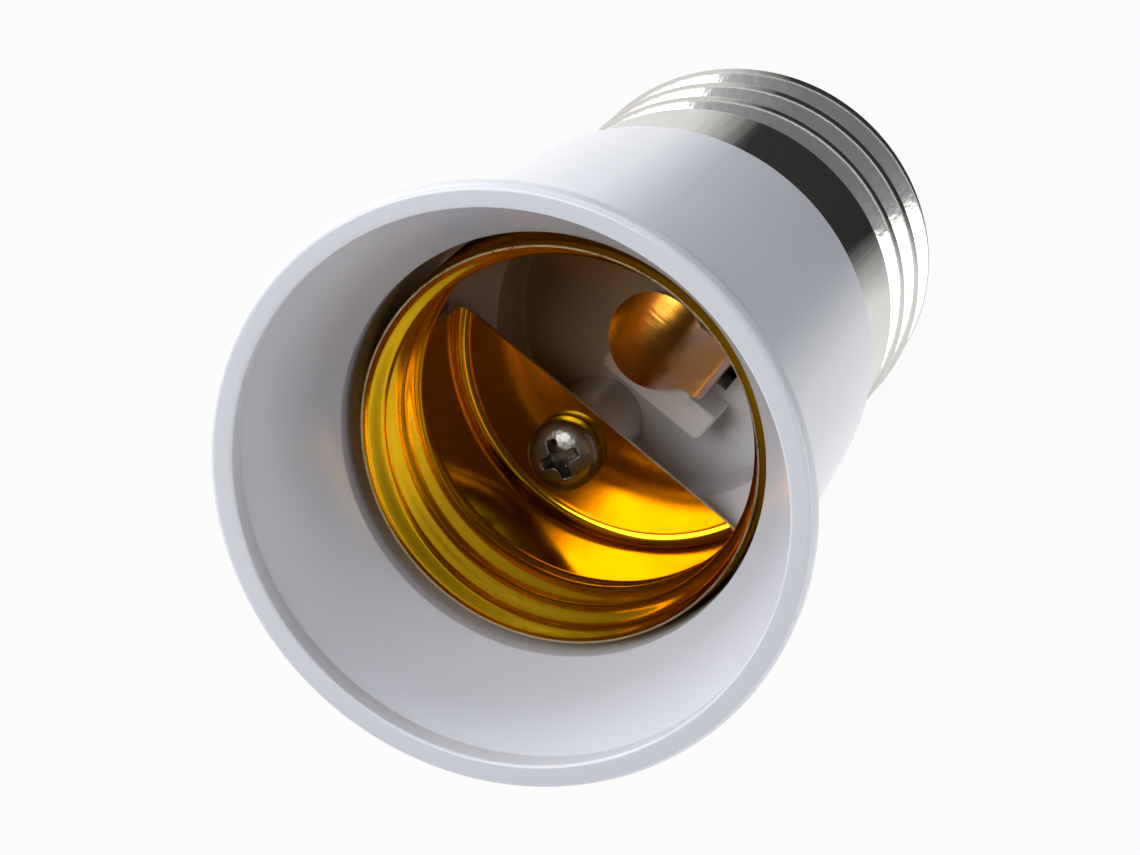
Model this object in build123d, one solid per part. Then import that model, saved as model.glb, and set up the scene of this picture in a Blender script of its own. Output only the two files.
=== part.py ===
from build123d import *
import os
from math import asin, cos, radians, sin

# Screw-in lamp socket adapter: a flared moulded housing holds a brass lamp socket in its
# mouth and carries a screw cap of the same thread on its other end.
# Millimetres. +Z points out of the mouth, and the origin lies on the axis in the plane of
# the shoulder, where the screw cap starts. The socket plate lies on the +Y side, and the
# centre contact's leg on the -X side.

# Lamp thread, shared by the cap outside and the socket inside
thread_pitch = 3.629
thread_depth = 1.1
cap_d = 26.4
cap_turns = 3
socket_turns = 3
thread_land = 0.6  # straight part of the thread's inner turns
thread_play = 0.1  # socket thread over cap thread, on the radius

# Sheet metal and clearances
cap_sheet = 0.35
shell_sheet = 0.35
contact_sheet = 0.35
strap_sheet = 0.8
seat_gap = 0.03  # between pieces that seat on each other
screw_play = 0.15  # round the screw in the boss and in the plate

# Housing: bell, barrel and neck
bell_height = 33.1  # shoulder to mouth
mouth_d = 40.0
lip_width = 1.55  # flat front face
lip_band = 1.2  # straight band outside the lip
lip_step = 1.7  # straight step inside the lip
lip_bevel = 0.3
funnel_depth = 9.0  # mouth to the front edge of the bore
shell_gap = 0.65  # bore over the shell, on the radius
bore_taper = 0.25  # radius that the bore loses to its bottom
barrel_wall = 1.9  # at the front of the bore
barrel_crown = 0.2
flare_blend = 2.0  # height of the blend on each side of the flare's foot
shoulder_wall = 0.6
shoulder_bevel = 0.4
neck_wall = 1.35

# Housing: cavity, contact pad and screw boss
ledge_drop = 0.15  # socket plate down to the start of the sloping ledge
ledge_height = 2.9
pocket_taper = 0.35
floor_depth = 3.3  # shoulder down to the floor
floor_thickness = 2.4
pad_height = 3.4
pad_half_width = 4.6
pad_past_axis = 2.2  # axis to the pad's free end
pad_past_slot = 0.8  # arm of the pad past the slot
pad_arm_gap = 0.75  # tab to the pad's arm beside it
pad_round = 0.6
pad_bevel = 0.4
boss_r = 2.98

# Socket shell
rim_set_back = 0.64  # bore edge down to the shell's rim
rim_band = 0.2  # plain band above the first thread turn
ring_tail = 2.3  # plain band under the last thread turn
plate_height = 4.1  # shoulder up to the plate that the screw holds
plate_chord = 5.8  # axis to the plate's straight edge
shell_bend = 0.87
bend_steps = 3
shell_shift = 0.3  # the shell hangs on its screw this far to one side

# Screw
screw_from_wall = 4.1  # shell wall in to the screw
screw_d = 3.0
head_d = 5.0
head_height = 2.0
head_rim = 0.9  # straight side of the head
recess_width = 0.75
recess_length = 2.7
recess_depth = 1.2
screw_end = 1.0  # screw past the strap

# Centre contact: round leaf, sloping tab, and a leg through the slot
contact_r = 3.37
tab_near = 1.55  # axis to the tab's edge on the plate's side
tab_far = 2.9  # axis to the tab's other edge
tab_length = 2.4
tab_slope = 10.0
leg_x = -4.55
leg_length = 6.1
fold_r = 0.5
fold_rise = 0.5  # pad up to the start of the fold
dome_r = 8.5
dome_turn = 45.0
slot_before = 0.3  # slot on the leaf's side of the leg
slot_behind = 0.82  # room for the leg to swing
slot_side = 0.15

# Neutral strap and live lead
strap_width = 5.0
strap_inner = 2.4  # screw to the strap's inner end
strap_lap = 3.2  # strap up the neck
strap_play = 0.1
lead_gap = 0.3  # contact leg to lead
lead_d = 1.2
rivet_to_lead = 0.2

# Cap end
skirt_past_neck = 3.65
cap_cone_height = 3.4
cap_end_r = 10.2
glass_inside = 2.6  # insulator up inside the cone
glass_height = 2.4  # insulator below the shell
tip_d = 9.8
tip_sheet = 0.6
glass_land = 0.7  # insulator face round the tip
tip_crown = 0.8  # dome of the tip under its flat rim
rivet_d = 3.2
rivet_past_glass = 0.5

# Radii worked out from the thread outwards and inwards
cap_r = cap_d / 2
cap_inner_r = cap_r - cap_sheet
shell_r = cap_r + thread_play
shell_outer_r = shell_r + shell_sheet
screw_y = shell_r - screw_from_wall
bore_front_r = shell_outer_r + shell_gap
bore_back_r = bore_front_r - bore_taper
barrel_r = bore_front_r + barrel_wall
shoulder_r = bore_back_r + shoulder_wall
neck_r = cap_inner_r - seat_gap
pocket_r = neck_r - neck_wall
pocket_floor_r = pocket_r - pocket_taper
mouth_r = mouth_d / 2
lip_r = mouth_r - lip_width
screw_r = screw_d / 2
hole_r = screw_r + screw_play
rivet_r = rivet_d / 2

# Heights
mouth_z = bell_height
bore_edge_z = mouth_z - funnel_depth
rim_z = bore_edge_z - rim_set_back
plate_z = plate_height - shell_sheet
ledge_z = plate_z - ledge_drop
pocket_z = ledge_z - ledge_height
floor_z = -floor_depth
floor_under_z = floor_z - floor_thickness
pad_z = floor_z + pad_height
fold_z = pad_z + fold_rise
strap_z = floor_under_z - seat_gap - strap_sheet
thread_z = floor_under_z - skirt_past_neck
cone_z = thread_z - cap_turns * thread_pitch
cap_end_z = cone_z - cap_cone_height
glass_end_z = cap_end_z - glass_height
glass_top_z = cap_end_z + glass_inside
rivet_z = glass_top_z + rivet_past_glass
leg_end_z = fold_z - leg_length
lead_top_z = leg_end_z - lead_gap

# Contact's tab, and the slot that its leg hangs in
tab_width = tab_near + tab_far
tab_middle_y = (tab_near - tab_far) / 2
slot_far_x = leg_x - contact_sheet / 2 - slot_behind
slot_near_x = leg_x + contact_sheet / 2 + slot_before


def turned(points):
    """Solid of revolution from (radius, z) corners."""
    return revolve(Plane.XZ * make_face(Polyline(*points, close=True).edges()), Axis.Z)


def turned_lines(lines):
    """Solid of revolution from lines and arcs that close round a section."""
    edges = ShapeList()
    for line in lines:
        edges += line.edges()
    return revolve(Plane.XZ * make_face(edges), Axis.Z)


def crown(base_r, base_z, rise):
    """Arc of a sphere from the rim of a round base to the middle of its crown."""
    sphere_r = (base_r**2 + rise**2) / (2 * abs(rise))
    half = asin(base_r / sphere_r) / 2
    drop = sphere_r * (1 - cos(half))
    middle_z = base_z + rise - (drop if rise > 0 else -drop)
    return ThreePointArc((base_r, base_z), (sphere_r * sin(half), middle_z), (0, base_z + rise))


def wave(start_z, turns, near_r, far_r, land):
    """Thread section as rings, one per turn: a flank to the far radius, a land, a flank back."""
    corners = [(near_r, start_z)]
    for turn in range(turns):
        middle = start_z - (turn + 0.5) * thread_pitch
        corners += [(far_r, middle + land / 2), (far_r, middle - land / 2)]
        corners += [(near_r, middle - thread_pitch / 2)]
    return corners


def bend(centre_r, centre_z, radius):
    """Corners along a quarter bend, from the wall's side round to the plate's side."""
    turns = [radians(90 * step / bend_steps) for step in range(bend_steps + 1)]
    return [(centre_r + radius * cos(turn), centre_z - radius * sin(turn)) for turn in turns]


def shifted(points, radial):
    return [(r + radial, z) for r, z in points]


def housing_body():
    """Bell, barrel and neck turned round the axis, with the funnel and the cavity inside."""
    flare_z = mouth_z - lip_band
    flare_slope = (mouth_r - barrel_r) / (flare_z - bore_edge_z)
    barrel_slope = (barrel_r - shoulder_r) / bore_edge_z
    barrel_top = (barrel_r - barrel_slope * flare_blend, bore_edge_z - flare_blend)
    barrel_low = (shoulder_r + barrel_slope * shoulder_bevel, shoulder_bevel)
    middle_r = (barrel_top[0] + barrel_low[0]) / 2 + barrel_crown
    middle_z = (barrel_top[1] + barrel_low[1]) / 2
    inside = Polyline(
        (shoulder_r - shoulder_bevel, 0),
        (neck_r, 0),
        (neck_r, floor_under_z),
        (0, floor_under_z),
        (0, floor_z),
        (pocket_floor_r, floor_z),
        (pocket_r, pocket_z),
        (bore_back_r, ledge_z),
        (bore_front_r, bore_edge_z),
        (lip_r, mouth_z - lip_step),
        (lip_r, mouth_z),
        (mouth_r - lip_bevel, mouth_z),
        (mouth_r, mouth_z - lip_bevel),
        (mouth_r, flare_z),
        (barrel_r + flare_slope * flare_blend, bore_edge_z + flare_blend),
        barrel_top,
    )
    barrel = ThreePointArc(barrel_top, (middle_r, middle_z), barrel_low)
    bevel = Line(barrel_low, (shoulder_r - shoulder_bevel, 0))
    return turned_lines([inside, barrel, bevel])


def contact_pad():
    """Raised block under the centre contact, cut back at its end to let the leg down past it."""
    end_x = slot_far_x - pad_past_slot
    centre = Pos((end_x + pad_past_axis) / 2, 0, floor_z)
    plan = RectangleRounded(pad_past_axis - end_x, 2 * pad_half_width, pad_round)
    block = centre * extrude(plan, pad_height)
    block = chamfer(block.faces().sort_by(Axis.Z)[-1].edges(), pad_bevel)
    cut_side = tab_near + pad_arm_gap
    cut_plan = Rectangle(slot_near_x - end_x, cut_side + pad_half_width)
    cut_middle = Pos((slot_near_x + end_x) / 2, (cut_side - pad_half_width) / 2, floor_z)
    return block - cut_middle * extrude(cut_plan, pad_height)


def contact_slot():
    width = tab_width + 2 * slot_side
    centre = Pos((slot_near_x + slot_far_x) / 2, tab_middle_y, floor_under_z)
    return centre * extrude(Rectangle(slot_near_x - slot_far_x, width), floor_thickness)


def screw_boss():
    return Pos(0, screw_y, floor_z) * extrude(Circle(boss_r), plate_z - floor_z)


def screw_hole():
    return Pos(0, screw_y, floor_under_z) * extrude(Circle(hole_r), plate_z - floor_under_z)


def strip_along_y(width, low_z, high_z):
    """Slab of the given width that reaches from the axis out past the cap along +Y."""
    return Pos(0, cap_r / 2, low_z) * extrude(Rectangle(width, cap_r), high_z - low_z)


def strap_groove():
    """Groove up the neck for the strap, open at the neck's end."""
    top = strap_z + strap_lap + strap_play
    back_r = neck_r - seat_gap - strap_sheet - strap_play
    groove = turned([(back_r, strap_z), (cap_r, strap_z), (cap_r, top), (back_r, top)])
    return groove & strip_along_y(strap_width + 2 * strap_play, strap_z, top)


def housing():
    body = housing_body() + contact_pad() + screw_boss()
    return body - contact_slot() - screw_hole() - strap_groove()


def socket_shell():
    """Rolled thread ring that goes on as a half cup, with a plate across its bottom."""
    first_z = rim_z - rim_band
    ring_end = first_z - socket_turns * thread_pitch - ring_tail
    crest_r = shell_r - thread_depth
    thread = [(shell_r, rim_z)] + wave(first_z, socket_turns, shell_r, crest_r, thread_land)
    bend_r = shell_r - shell_bend
    bend_z = plate_height + shell_bend
    inner = thread + bend(bend_r, bend_z, shell_bend) + [(0, plate_height)]
    outer = shifted(thread, shell_sheet) + bend(bend_r, bend_z, shell_bend + shell_sheet) + [(0, plate_z)]
    cup = turned(inner + outer[::-1])
    reach = 2 * shell_outer_r
    removed = Pos(0, plate_chord - reach / 2, 0) * extrude(Rectangle(reach, reach), ring_end)
    hole = Pos(shell_shift, screw_y, 0) * extrude(Circle(hole_r), bend_z)
    return Pos(-shell_shift, 0, 0) * (cup - removed - hole)


def shell_screw():
    """Pan-head screw with a cross recess, through the plate, the boss and the strap."""
    head_r = head_d / 2
    rim = plate_height + head_rim
    top = plate_height + head_height
    end_z = strap_z - screw_end
    side = Polyline(
        (0, top), (0, end_z), (screw_r, end_z), (screw_r, plate_height), (head_r, plate_height), (head_r, rim)
    )
    screw = turned_lines([side, crown(head_r, rim, top - rim)])
    arm = Rectangle(recess_length, recess_width)
    recess = extrude(arm + Rot(0, 0, 90) * arm, head_height)
    return Pos(0, screw_y, 0) * (screw - Pos(0, 0, top - recess_depth) * recess)


def leaf_side(offset):
    """One face of the contact strip in X and Z, offset from its middle towards the pad."""
    leg = Line((leg_x + offset, leg_end_z), (leg_x + offset, fold_z))
    fold = JernArc(leg @ 1, (0, 1), fold_r - offset, tab_slope - 90)
    tab = Line(fold @ 1, fold @ 1 + (fold % 1) * tab_length)
    dome = JernArc(tab @ 1, tab % 1, dome_r - offset, -dome_turn)
    return [leg, fold, tab, dome]


def centre_contact():
    """Bent strip cut to its plan: a round leaf on the axis with a tab that lies off its middle."""
    under = leaf_side(contact_sheet / 2)
    over = leaf_side(-contact_sheet / 2)
    ends = [Line(under[0] @ 0, over[0] @ 0), Line(under[-1] @ 1, over[-1] @ 1)]
    edges = ShapeList()
    for line in under + over + ends:
        edges += line.edges()
    strip = extrude(Plane.XZ * make_face(edges), contact_r, both=True)
    reach = contact_sheet - leg_x
    plan = Circle(contact_r) + Pos(-reach / 2, tab_middle_y) * Rectangle(reach, tab_width)
    height = dome_r + leg_length
    return strip & (Pos(0, 0, fold_z - leg_length) * extrude(plan, height))


def neutral_strap():
    """Strip that the screw clamps under the floor and the cap pinches against the neck."""
    inner = screw_y - strap_inner
    outer = neck_r - seat_gap
    back = outer - strap_sheet
    top = strap_z + strap_lap
    elbow = strap_z + strap_sheet
    corners = [(inner, strap_z), (outer, strap_z), (outer, top), (back, top), (back, elbow), (inner, elbow)]
    strap = turned(corners) & strip_along_y(strap_width, strap_z, top)
    tapping = Pos(0, screw_y, strap_z) * extrude(Circle(screw_r + seat_gap), strap_sheet)
    return strap - tapping


def live_lead():
    """Lead pulled straight from below the contact's leg to the rivet of the tip."""
    top = Vector(leg_x, 0, lead_top_z)
    low = Vector(0, 0, rivet_z + rivet_to_lead)
    along = low - top
    return extrude(Plane(origin=top, z_dir=along) * Circle(lead_d / 2), along.length)


def cap_shell():
    """Rolled screw cap: plain skirt on the neck, thread rings and a cone over the insulator."""
    outer = [(cap_r, -seat_gap)]
    outer += wave(thread_z, cap_turns, cap_r, cap_r - thread_depth, thread_land)
    outer += [(cap_end_r, cap_end_z)]
    return turned(outer + shifted(outer, -cap_sheet)[::-1])


def cap_insulator():
    """Plug in the cap's open end, with a hole for the rivet of the tip."""
    slope = (cap_r - cap_end_r) / cap_cone_height
    low_r = cap_end_r - cap_sheet - seat_gap
    hole = rivet_r + seat_gap
    face_r = tip_d / 2 + glass_land
    corners = [(hole, glass_top_z), (low_r + slope * glass_inside, glass_top_z), (low_r, cap_end_z)]
    return turned(corners + [(face_r, glass_end_z), (hole, glass_end_z)])


def tip_contact():
    """Domed button riveted up through the insulator."""
    tip_r = tip_d / 2
    top = glass_end_z - seat_gap
    rim = top - tip_sheet
    side = Polyline(
        (0, rim - tip_crown), (0, rivet_z), (rivet_r, rivet_z), (rivet_r, top), (tip_r, top), (tip_r, rim)
    )
    return turned_lines([side, crown(tip_r, rim, -tip_crown)])


pieces = {
    "housing": housing,
    "socket_shell": socket_shell,
    "shell_screw": shell_screw,
    "centre_contact": centre_contact,
    "neutral_strap": neutral_strap,
    "live_lead": live_lead,
    "cap_shell": cap_shell,
    "cap_insulator": cap_insulator,
    "tip_contact": tip_contact,
}

os.makedirs("parts", exist_ok=True)
for node, make in pieces.items():
    export_step(make(), f"parts/{node}.step")
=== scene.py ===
import math
from types import SimpleNamespace

import bmesh
import bpy
import numpy as np
from mathutils import Matrix, Vector


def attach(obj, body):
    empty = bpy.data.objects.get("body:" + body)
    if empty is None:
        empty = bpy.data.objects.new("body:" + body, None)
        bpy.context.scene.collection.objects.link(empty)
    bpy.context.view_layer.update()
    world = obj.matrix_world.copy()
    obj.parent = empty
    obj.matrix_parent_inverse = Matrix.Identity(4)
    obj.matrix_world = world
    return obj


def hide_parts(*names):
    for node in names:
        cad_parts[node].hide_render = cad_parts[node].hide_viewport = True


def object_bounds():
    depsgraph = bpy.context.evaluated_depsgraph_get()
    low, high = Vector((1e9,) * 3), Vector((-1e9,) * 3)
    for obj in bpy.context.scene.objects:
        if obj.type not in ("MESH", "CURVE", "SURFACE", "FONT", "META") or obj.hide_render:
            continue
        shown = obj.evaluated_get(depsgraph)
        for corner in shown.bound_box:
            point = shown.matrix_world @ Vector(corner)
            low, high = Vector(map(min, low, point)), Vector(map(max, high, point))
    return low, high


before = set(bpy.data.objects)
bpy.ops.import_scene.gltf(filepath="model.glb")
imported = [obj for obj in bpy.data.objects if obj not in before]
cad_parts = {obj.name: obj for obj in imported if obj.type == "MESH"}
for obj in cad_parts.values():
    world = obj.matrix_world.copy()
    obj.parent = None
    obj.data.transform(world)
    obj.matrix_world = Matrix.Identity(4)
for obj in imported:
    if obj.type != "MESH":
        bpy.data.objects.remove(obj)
cad_low, cad_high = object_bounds()

bl_info = {
    "name": "Lamp socket adapter",
    "version": (1, 0, 0),
    "blender": (4, 5, 0),
    "location": "View3D > Sidebar > Adapter",
    "description": "Dresses the lamp socket adapter: moulded housing, rolled shells, contacts and stage",
    "category": "Object",
}

MM = 0.001
BODY = "adapter"
CONTACT_BODY = "contact"

# Photo camera: where it stands from the middle of the mouth, in millimetres, and how it is turned
CAMERA_FROM_MOUTH = (-19.86, -188.39, 379.70)
CAMERA_RIGHT = (-0.77041, -0.55870, -0.3071)
CAMERA_UP = (0.63593, -0.70784, -0.3075)
CAMERA_BACK = (-0.04558, -0.43220, 0.9006)
CAMERA_LENS = 213.4
CAMERA_SENSOR = 36.0

# A crest of each thread: height in millimetres, the cap's down from the mouth, and turn in degrees
SOCKET_CREST = (22.15, 40.0)
CAP_CREST = (46.93, 173.98)

# Bends of the contact in degrees
TAB_SLOPE = 10.0
DOME_TURN = 45.0

# Points along the contact's leg and fold
LEG_ROWS = 12
FOLD_ROWS = 12

# Lamps: place in metres, width and height in metres, and power in watts
LAMP_AIM = (0.0, 0.0, 0.015)
LAMPS = {
    "key softbox": ((0.23, -0.03, 0.44), (0.33, 0.33), 1.65),
    "side softbox": ((0.49, -0.10, 0.06), (0.30, 0.16), 1.6),
    "low softbox": ((-0.47, -0.16, 0.06), (0.44, 0.16), 0.85),
    "back softbox": ((-0.42, 0.22, 0.06), (0.36, 0.16), 0.5),
}

# World: linear colours of the cove and of the ceiling, plain and toward -X
COVE = (0.66, 0.68, 0.74)
COVE_ASIDE = (0.58, 0.59, 0.63)
BEHIND_CAMERA = (0.24, 0.245, 0.265)
CEILING = (0.045, 0.032, 0.02)
CEILING_ASIDE = (0.085, 0.07, 0.055)
WHITE = (1, 1, 1)

# Floor: half its width and its drop under the part in metres, and the painted dark reflection, a dark sheet
# that is not there, which near reflections show on it
FLOOR_HALF = 3.0
FLOOR_DROP = 0.0002
FLOOR_WHITE_SHARE = 0.95
PAINTED_DARK_REFLECTION = (0.04, 0.04, 0.04)
PAINTED_DARK_TOWARD = (-0.087, -0.996, 0.0)
PAINTED_DARK_REACH = (0.05, 0.15)
PAINTED_DARK_SECTOR = (0.84, 0.50)


def length(name, text, value):
    """A size in millimetres that the sidebar shows in the scene's unit of length."""
    return bpy.props.FloatProperty(
        name=name, description=text, default=value * MM, precision=5, subtype="DISTANCE", unit="LENGTH"
    )


def colour(name, text, value):
    """A linear colour that the sidebar shows."""
    return bpy.props.FloatVectorProperty(
        name=name, description=text, default=value, size=3, min=0.0, max=1.0, subtype="COLOR"
    )


class AdapterSizes(bpy.types.PropertyGroup):
    """Sizes of the adapter's pieces, with the shoulder's plane at height 0."""

    mouth_r: length("Mouth radius", "Outside of the lip", 20.0)
    lip_r: length("Lip inner radius", "Inside of the flat front face", 18.45)
    mouth_z: length("Mouth height", "Shoulder to the front face", 33.1)
    lip_band: length("Lip band", "Straight band outside the lip", 1.2)
    lip_step: length("Lip step", "Straight step inside the lip", 1.7)
    bore_r: length("Bore radius", "Front edge of the bore", 14.3)
    bore_back_r: length("Bore foot radius", "Back end of the bore", 14.05)
    bore_z: length("Bore edge height", "Front edge of the bore", 24.1)
    ledge_z: length("Ledge height", "Top of the sloping ledge", 3.6)
    pocket_r: length("Pocket radius", "Foot of the sloping ledge", 11.47)
    pocket_z: length("Pocket height", "Foot of the sloping ledge", 0.7)
    pocket_floor_r: length("Pocket floor radius", "Foot of the pocket wall", 11.12)
    floor_z: length("Floor height", "Top of the floor", -3.3)
    under_z: length("Floor underside", "Underside of the floor", -5.7)
    barrel_r: length("Barrel radius", "Barrel at the foot of the flare", 16.2)
    barrel_crown: length("Barrel crown", "Swell of the barrel between its ends", 0.2)
    shoulder_r: length("Shoulder radius", "Back end of the barrel", 14.65)
    neck_r: length("Neck radius", "Neck inside the cap", 12.82)
    boss_r: length("Boss radius", "Post under the socket plate", 2.98)
    pad_z: length("Pad height", "Top of the block under the contact", 0.1)
    pad_half_width: length("Pad half width", "Axis to the sides of the block", 4.6)
    pad_past_axis: length("Pad past axis", "Axis to the free end of the block", 2.2)
    pad_arm: length("Pad arm", "Length of the arm beside the slot", 2.275)
    pad_arm_gap: length("Pad arm gap", "Tab to the arm beside it", 0.75)
    pad_round: length("Pad round", "Corners of the block", 0.6)
    slot_before: length("Slot before leg", "Slot on the leaf's side of the leg", 0.3)
    slot_behind: length("Slot behind leg", "Room for the leg to swing", 0.82)
    slot_side: length("Slot side", "Slot beside the leg", 0.15)
    shell_r: length("Shell radius", "Inside of the socket shell", 13.3)
    shell_sheet: length("Shell sheet", "Thickness of the socket shell", 0.35)
    shell_shift: length("Shell shift", "Shell's offset along -X", 0.3)
    rim_z: length("Rim height", "Front edge of the socket shell", 23.46)
    ring_end_z: length("Ring end height", "Lower edge of the thread ring", 10.07)
    plate_z: length("Plate height", "Top of the socket plate", 4.1)
    plate_chord: length("Plate edge", "Axis to the plate's straight edge", 5.8)
    shell_bend: length("Shell bend", "Inside radius between wall and plate", 0.87)
    pitch: length("Thread pitch", "Rise of one thread turn", 3.629)
    thread_depth: length("Thread depth", "Crest to root", 1.1)
    screw_y: length("Screw place", "Axis to the screw", 9.2)
    head_r: length("Screw head radius", "Pan head", 2.5)
    head_height: length("Screw head height", "Pan head", 2.0)
    screw_r: length("Screw radius", "Shank of the screw", 1.5)
    screw_end_z: length("Screw end height", "Lower end of the screw", -7.53)
    contact_r: length("Contact radius", "Round leaf of the centre contact", 3.37)
    contact_sheet: length("Contact sheet", "Thickness of the centre contact", 0.35)
    tab_near: length("Tab near edge", "Axis to the tab's edge on the plate's side", 1.55)
    tab_far: length("Tab far edge", "Axis to the tab's other edge", 2.9)
    leg_x: length("Leg place", "Middle of the contact's leg", -4.55)
    leg_end_z: length("Leg end height", "Lower end of the contact's leg", -5.5)
    fold_z: length("Fold height", "Start of the fold at the top of the leg", 0.6)
    fold_r: length("Fold radius", "Middle of the sheet in the fold", 0.5)
    tab_length: length("Tab length", "Sloping tab between fold and leaf", 2.4)
    dome_r: length("Dome radius", "Curve of the round leaf", 8.5)
    cap_r: length("Cap radius", "Skirt and thread crests of the cap", 13.2)
    cap_sheet: length("Cap sheet", "Thickness of the cap", 0.35)
    cap_end_r: length("Cap end radius", "Open end of the cap", 10.2)
    cone_z: length("Cone height", "Start of the cap's cone", -20.237)
    cap_end_z: length("Cap end height", "Open end of the cap", -23.637)


class AdapterColours(bpy.types.PropertyGroup):
    """Linear base colours of the adapter's finishes."""

    plastic: colour("Plastic", "White moulded housing", (0.705, 0.725, 0.785))
    # Painted shade: a dark, brass-warm tint for the shade and the light bounced off the brass deep in the
    # socket
    cavity_painted_shade: colour("Cavity", "Moulding deep in the socket", (0.45, 0.34, 0.22))
    brass: colour("Brass", "Bright rolled socket shell", (0.80, 0.45, 0.01))
    cut_brass: colour("Cut brass", "Sheared edges of the socket shell", (0.80, 0.62, 0.34))
    # Leaf bronze deepened to a darker orange: painted reflection of the brass wall; the tab and leg keep a
    # paler bronze
    bronze: colour("Bronze", "Leaf of the centre contact", (0.70, 0.34, 0.06))
    tab_bronze: colour("Bare bronze", "Tab and leg of the centre contact", (0.64, 0.47, 0.41))
    nickel: colour("Nickel", "Plated screw cap", (0.68, 0.66, 0.62))
    steel: colour("Steel", "Plated screw", (0.32, 0.305, 0.27))
    insulator: colour("Insulator", "Black plug in the cap's end", (0.012, 0.012, 0.014))
    lead: colour("Lead", "Insulated lead", (0.30, 0.03, 0.02))
    floor: colour("Floor", "Plain pale floor", (0.50, 0.50, 0.51))


def sizes():
    """The sidebar's sizes as plain values in millimetres."""
    group = bpy.context.scene.adapter_sizes
    return SimpleNamespace(**{name: getattr(group, name) / MM for name in AdapterSizes.__annotations__})


def colours():
    """The sidebar's colours."""
    return bpy.context.scene.adapter_colours


# Meshes


def grid_faces(rows, cols, first=0, closed=False):
    """Quads of a grid of points, numbered row by row; if closed, the last column joins the first."""
    across = np.arange(cols if closed else cols - 1)
    row, col = np.meshgrid(np.arange(rows - 1), across, indexing="ij")
    after = (col + 1) % cols
    quads = [row * cols + col, (row + 1) * cols + col, (row + 1) * cols + after, row * cols + after]
    return first + np.stack(quads, -1).reshape(-1, 4)


def strip_faces(one, other):
    """Quads between two rows of point numbers that run side by side."""
    return np.stack([one[:-1], other[:-1], other[1:], one[1:]], -1)


def make_piece(name, points, faces, sharp, finish=None):
    """Mesh object from points in millimetres and quads, merged, turned outwards and shaded smooth.

    Edges over the sharp angle, in degrees, stay sharp. Finish numbers the material of each quad, and
    without it they all take the first.
    """
    merge, sliver = 0.002 * MM, 0.0005 * MM
    mesh = bpy.data.meshes.new(name)
    points = np.ascontiguousarray(points, dtype=np.float32) * MM
    faces = np.ascontiguousarray(faces, dtype=np.int32)
    mesh.vertices.add(len(points))
    mesh.vertices.foreach_set("co", points.ravel())
    mesh.loops.add(faces.size)
    mesh.loops.foreach_set("vertex_index", faces.ravel())
    mesh.polygons.add(len(faces))
    mesh.polygons.foreach_set("loop_start", np.arange(0, faces.size, 4, dtype=np.int32))
    if finish is not None:
        mesh.polygons.foreach_set("material_index", np.ascontiguousarray(finish, dtype=np.int32))
    mesh.update(calc_edges=True)
    mesh.validate()
    shape = bmesh.new()
    shape.from_mesh(mesh)
    bmesh.ops.remove_doubles(shape, verts=shape.verts, dist=merge)
    bmesh.ops.dissolve_degenerate(shape, edges=shape.edges, dist=sliver)
    bmesh.ops.recalc_face_normals(shape, faces=shape.faces)
    shape.to_mesh(mesh)
    shape.free()
    mesh.shade_smooth()
    mesh.set_sharp_from_angle(angle=math.radians(sharp))
    piece = bpy.data.objects.new(name, mesh)
    bpy.context.scene.collection.objects.link(piece)
    return piece


def joined(parts):
    """Points and quads of several meshes as one."""
    points, faces, count = [], [], 0
    for some, quads in parts:
        points.append(some.reshape(-1, 3))
        faces.append(quads + count)
        count += len(points[-1])
    return np.concatenate(points), np.concatenate(faces)


def arc(centre, radius, start, end, steps):
    """Points on a circle's arc, centre plus radius times the cosine and sine of an even run of angles."""
    turn = np.radians(np.linspace(start, end, steps))
    return np.stack([centre[0] + radius * np.cos(turn), centre[1] + radius * np.sin(turn)], -1)


def rounded(corners, radii, steps=7):
    """Open outline with each corner replaced by an arc tangent to both sides, at its own radius."""
    corners = np.array(corners, float)
    out = [corners[:1]]
    for before, here, after, radius in zip(corners[:-2], corners[1:-1], corners[2:], radii):
        if radius <= 0:
            out.append(here[None])
            continue
        one = (before - here) / np.linalg.norm(before - here)
        two = (after - here) / np.linalg.norm(after - here)
        half = math.acos(np.clip(one @ two, -1, 1)) / 2
        reach = radius / math.tan(half)
        middle = (one + two) / np.linalg.norm(one + two)
        centre = here + middle * radius / math.sin(half)
        start = here + one * reach - centre
        end = here + two * reach - centre
        sweep = math.pi - 2 * half
        side = np.sign(start[0] * end[1] - start[1] * end[0])
        turn = np.linspace(0, sweep, steps) * side
        cos, sin = np.cos(turn), np.sin(turn)
        x = start[0] * cos - start[1] * sin
        y = start[0] * sin + start[1] * cos
        out.append(centre + np.stack([x, y], -1))
    out.append(corners[-1:])
    return np.concatenate(out)


def finer(outline, step):
    """Outline with its long sides divided evenly so that no side is longer than the step."""
    sides = np.linalg.norm(np.diff(outline, axis=0), axis=1)
    parts = np.maximum(1, np.ceil(sides / step).astype(int))
    runs = [np.linspace(a, b, n, endpoint=False) for a, b, n in zip(outline[:-1], outline[1:], parts)]
    return np.concatenate(runs + [outline[-1:]])


def around_axis(radius, turn, height):
    """Points at radius times cosine and sine of the turn, at each height: rows down and columns round."""
    rows = np.repeat(height, np.shape(turn)[-1], 1)
    return np.stack([radius * np.cos(turn), radius * np.sin(turn), rows], -1)


def turned(outline, cols):
    """Surface of revolution: the outline's radius and height carried round an even run of turns."""
    turn = np.linspace(0, 2 * math.pi, cols, endpoint=False)
    return around_axis(outline[:, :1], turn, outline[:, 1:])


def smooth(low, high, value):
    """0 below low, 1 above high, and a smooth S between them."""
    t = np.clip((value - low) / (high - low), 0, 1)
    return t * t * (3 - 2 * t)


# Materials


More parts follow.
